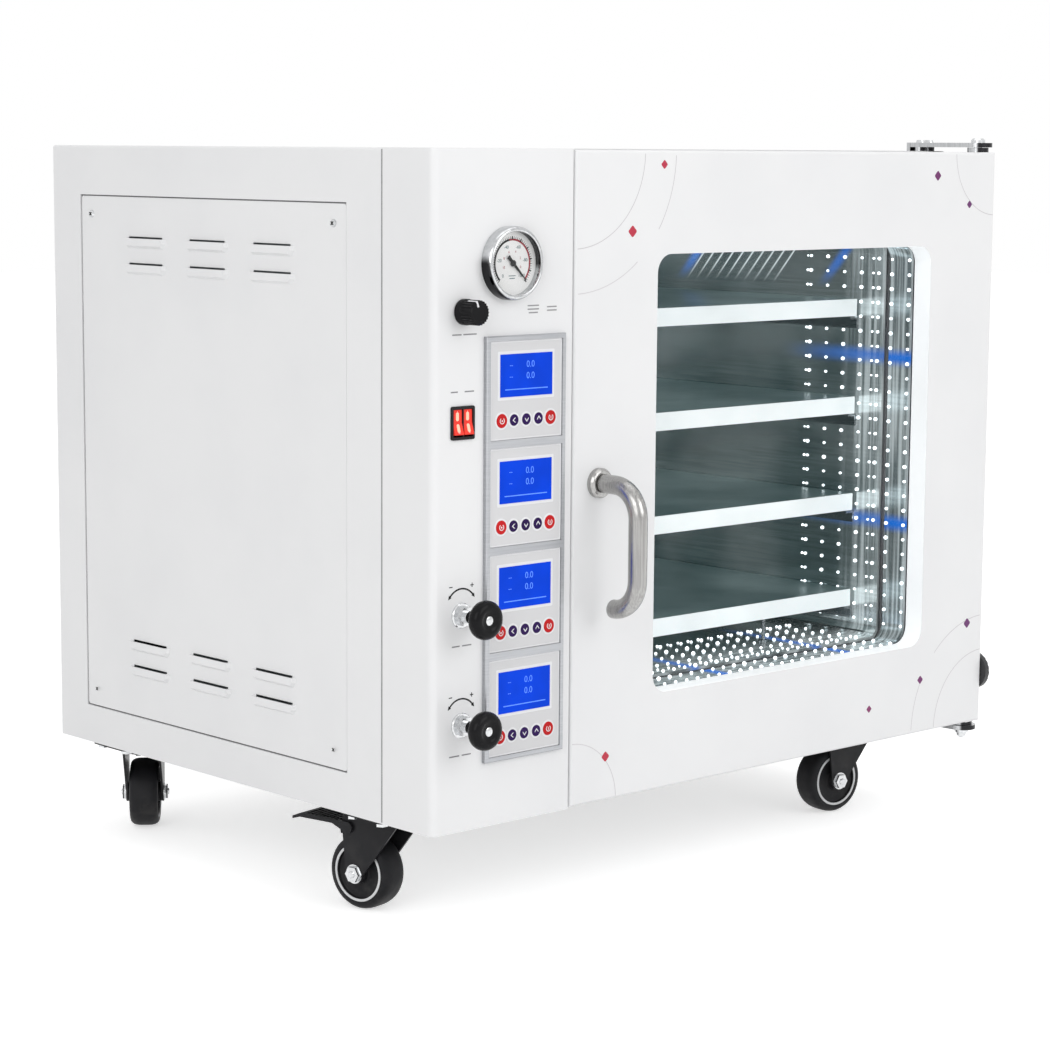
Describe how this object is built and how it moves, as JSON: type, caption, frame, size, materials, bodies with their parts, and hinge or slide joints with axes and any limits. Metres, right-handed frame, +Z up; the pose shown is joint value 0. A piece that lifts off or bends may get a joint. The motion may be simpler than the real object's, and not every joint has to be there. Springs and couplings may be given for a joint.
{
  "type": "vacuum oven",
  "caption": "White box-shaped vacuum oven on braked swivel casters, with heated shelves behind a deep-set window door, a lever handle and a side control column.",
  "frame": {"origin": "on the floor, under the middle of the whole oven's outline", "axes": "+Z up, the door faces -Y, +X to the right of someone facing the door"},
  "size_m": [0.851, 0.7505, 0.7755],
  "materials": {
    "white_sheet": "satin white powder coat",
    "fascia_steel": "brushed stainless sheet",
    "chamber_steel": "polished stainless",
    "silicone": "grey silicone",
    "shelf_metal": "machined plate",
    "toughened_glass": "clear",
    "clear_shield": "clear sheet",
    "black_rubber": "ribbed, matte",
    "hinge_steel": "brushed",
    "bright_fixings": "bright plated",
    "handle_steel": "polished tube",
    "frame_metal": "anodised",
    "panel_face": "membrane face",
    "display_blue": "lit display",
    "gauge_chrome": "chromed bezel",
    "dial_white": "printed dial",
    "gauge_glass": "clear",
    "needle_black": "matte black",
    "knob_black": "gloss",
    "rocker_red": "lit translucent red",
    "socket_black": "moulded",
    "valve_metal": "plated",
    "caster_black": "black coated steel",
    "wheel_black": "moulded tread"
  },
  "bodies": {
    "cabinet": {"cabinet_shell": "white_sheet", "left_side_cover": "white_sheet", "right_side_cover": "white_sheet", "control_housing": "white_sheet", "rear_panel": "white_sheet", "base_pan": "white_sheet", "door_bay_fascia": "fascia_steel", "vacuum_chamber": "chamber_steel", "shelf_rails": "chamber_steel", "chamber_feet": "chamber_steel", "temperature_probe": "chamber_steel", "chamber_gasket": "silicone", "heated_shelf_1": "shelf_metal", "heated_shelf_2": "shelf_metal", "heated_shelf_3": "shelf_metal", "heated_shelf_4": "shelf_metal", "hinge_arms": "hinge_steel", "hinge_pins": "bright_fixings", "cabinet_fasteners": "bright_fixings", "caster_bolts": "bright_fixings", "controller_frame": "frame_metal", "controller_modules": "panel_face", "displays": "display_blue", "gauge_case": "gauge_chrome", "gauge_dial": "dial_white", "gauge_lens": "gauge_glass", "rocker_frame": "socket_black", "power_inlet": "socket_black", "valve_bodies": "valve_metal", "vacuum_port": "valve_metal", "gas_inlet": "valve_metal", "caster_plates": "caster_black"},
    "door": {"door_shell": "white_sheet", "door_liner": "fascia_steel", "inner_glass": "toughened_glass", "outer_shield": "clear_shield", "lamp_frame": "chamber_steel", "side_bumper": "black_rubber", "hinge_bushes": "hinge_steel", "handle_rose": "handle_steel"},
    "handle": {"door_handle": "handle_steel", "latch_cam": "hinge_steel"},
    "needle": {"gauge_needle": "needle_black"},
    "dimmer": {"dimmer_knob": "knob_black"},
    "light_switch": {"light_rocker": "rocker_red"},
    "power_switch": {"power_rocker": "rocker_red"},
    "upper_valve": {"upper_valve_knob": "knob_black"},
    "lower_valve": {"lower_valve_knob": "knob_black"},
    "front_left_fork": {"caster_fork_front_left": "caster_black"},
    "front_left_wheel": {"caster_wheel_front_left": "wheel_black"},
    "front_left_pedal": {"brake_pedal_front_left": "caster_black"},
    "front_right_fork": {"caster_fork_front_right": "caster_black"},
    "front_right_wheel": {"caster_wheel_front_right": "wheel_black"},
    "front_right_pedal": {"brake_pedal_front_right": "caster_black"},
    "rear_left_fork": {"caster_fork_rear_left": "caster_black"},
    "rear_left_wheel": {"caster_wheel_rear_left": "wheel_black"},
    "rear_left_pedal": {"brake_pedal_rear_left": "caster_black"},
    "rear_right_fork": {"caster_fork_rear_right": "caster_black"},
    "rear_right_wheel": {"caster_wheel_rear_right": "wheel_black"},
    "rear_right_pedal": {"brake_pedal_rear_right": "caster_black"}
  },
  "joints": [
    {"name": "door_swing", "type": "hinge", "parent": "cabinet", "child": "door", "pos_m": [0.4065, -0.29175, 0.4335], "axis": [0, 0, 1], "range_deg": [0, 120]},
    {"name": "handle_turn", "type": "hinge", "parent": "door", "child": "handle", "pos_m": [-0.2049, -0.30875, 0.432], "axis": [0, -1, 0], "range_deg": [0, 90]},
    {"name": "gauge_reading", "type": "hinge", "parent": "cabinet", "child": "needle", "pos_m": [-0.327, -0.30875, 0.6525], "axis": [0, -1, 0], "range_deg": [0, 270], "stiffness_Nm_per_rad": 0.0005},
    {"name": "dimmer_turn", "type": "hinge", "parent": "cabinet", "child": "dimmer", "pos_m": [-0.3845, -0.30875, 0.608], "axis": [0, -1, 0], "range_deg": [-140, 140]},
    {"name": "light_rock", "type": "hinge", "parent": "cabinet", "child": "light_switch", "pos_m": [-0.392, -0.30575, 0.503], "axis": [1, 0, 0], "range_deg": [0, 18]},
    {"name": "power_rock", "type": "hinge", "parent": "cabinet", "child": "power_switch", "pos_m": [-0.3792, -0.30575, 0.503], "axis": [1, 0, 0], "range_deg": [0, 18]},
    {"name": "upper_valve_turn", "type": "hinge", "parent": "cabinet", "child": "upper_valve", "pos_m": [-0.3855, -0.30875, 0.318], "axis": [0, -1, 0], "range_deg": [0, 720]},
    {"name": "lower_valve_turn", "type": "hinge", "parent": "cabinet", "child": "lower_valve", "pos_m": [-0.3855, -0.30875, 0.211], "axis": [0, -1, 0], "range_deg": [0, 720]},
    {"name": "front_left_swivel", "type": "hinge", "parent": "cabinet", "child": "front_left_fork", "pos_m": [-0.3725, -0.19675, 0.094], "axis": [0, 0, 1], "continuous": true},
    {"name": "front_left_roll", "type": "hinge", "parent": "front_left_fork", "child": "front_left_wheel", "pos_m": [-0.37956, -0.16043, 0.038], "axis": [-0.9816, -0.1908, 0], "continuous": true},
    {"name": "front_left_brake", "type": "hinge", "parent": "front_left_fork", "child": "front_left_pedal", "pos_m": [-0.3809, -0.15356, 0.085], "axis": [-0.9816, -0.1908, 0], "range_deg": [0, 10]},
    {"name": "front_right_swivel", "type": "hinge", "parent": "cabinet", "child": "front_right_fork", "pos_m": [0.3235, -0.19675, 0.094], "axis": [0, 0, 1], "continuous": true},
    {"name": "front_right_roll", "type": "hinge", "parent": "front_right_fork", "child": "front_right_wheel", "pos_m": [0.28678, -0.19224, 0.038], "axis": [-0.1219, -0.9925, 0], "continuous": true},
    {"name": "front_right_brake", "type": "hinge", "parent": "front_right_fork", "child": "front_right_pedal", "pos_m": [0.27983, -0.19139, 0.085], "axis": [-0.1219, -0.9925, 0], "range_deg": [0, 10]},
    {"name": "rear_left_swivel", "type": "hinge", "parent": "cabinet", "child": "rear_left_fork", "pos_m": [-0.3725, 0.24125, 0.094], "axis": [0, 0, 1], "continuous": true},
    {"name": "rear_left_roll", "type": "hinge", "parent": "rear_left_fork", "child": "rear_left_wheel", "pos_m": [-0.34921, 0.27, 0.038], "axis": [-0.7771, 0.6293, 0], "continuous": true},
    {"name": "rear_left_brake", "type": "hinge", "parent": "rear_left_fork", "child": "rear_left_pedal", "pos_m": [-0.34481, 0.27544, 0.085], "axis": [-0.7771, 0.6293, 0], "range_deg": [0, 10]},
    {"name": "rear_right_swivel", "type": "hinge", "parent": "cabinet", "child": "rear_right_fork", "pos_m": [0.3235, 0.24125, 0.094], "axis": [0, 0, 1], "continuous": true},
    {"name": "rear_right_roll", "type": "hinge", "parent": "rear_right_fork", "child": "rear_right_wheel", "pos_m": [0.30072, 0.27041, 0.038], "axis": [-0.788, -0.6157, 0], "continuous": true},
    {"name": "rear_right_brake", "type": "hinge", "parent": "rear_right_fork", "child": "rear_right_pedal", "pos_m": [0.29641, 0.27592, 0.085], "axis": [-0.788, -0.6157, 0], "range_deg": [0, 10]}
  ]
}
